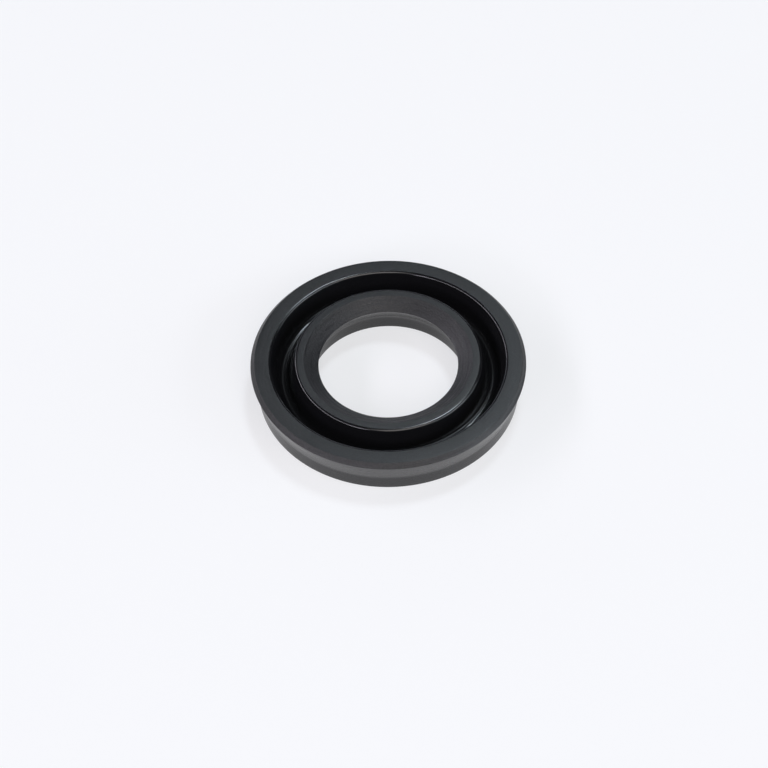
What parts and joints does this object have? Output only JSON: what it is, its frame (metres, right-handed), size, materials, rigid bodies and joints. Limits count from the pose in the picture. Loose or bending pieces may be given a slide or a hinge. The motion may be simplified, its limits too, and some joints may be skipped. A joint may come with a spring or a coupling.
{
  "type": "u cup seal",
  "caption": "Rubber U-cup lip seal ring with a plain heel and bevelled lips either side of an open groove, for sealing between a rod and a cylinder.",
  "frame": {"origin": "on the ring's axis, in the plane of the heel's face that it rests on", "axes": "+Z along the ring's axis, from the heel to the lips, out of the open groove; X and Y are any two radii"},
  "size_m": [0.041, 0.041, 0.0061],
  "materials": {
    "seal_rubber": "black rubber, fine turned matt faces, smooth and glossier in the groove"
  },
  "bodies": {
    "root": {"u_cup_seal": "seal_rubber"}
  },
  "joints": []
}
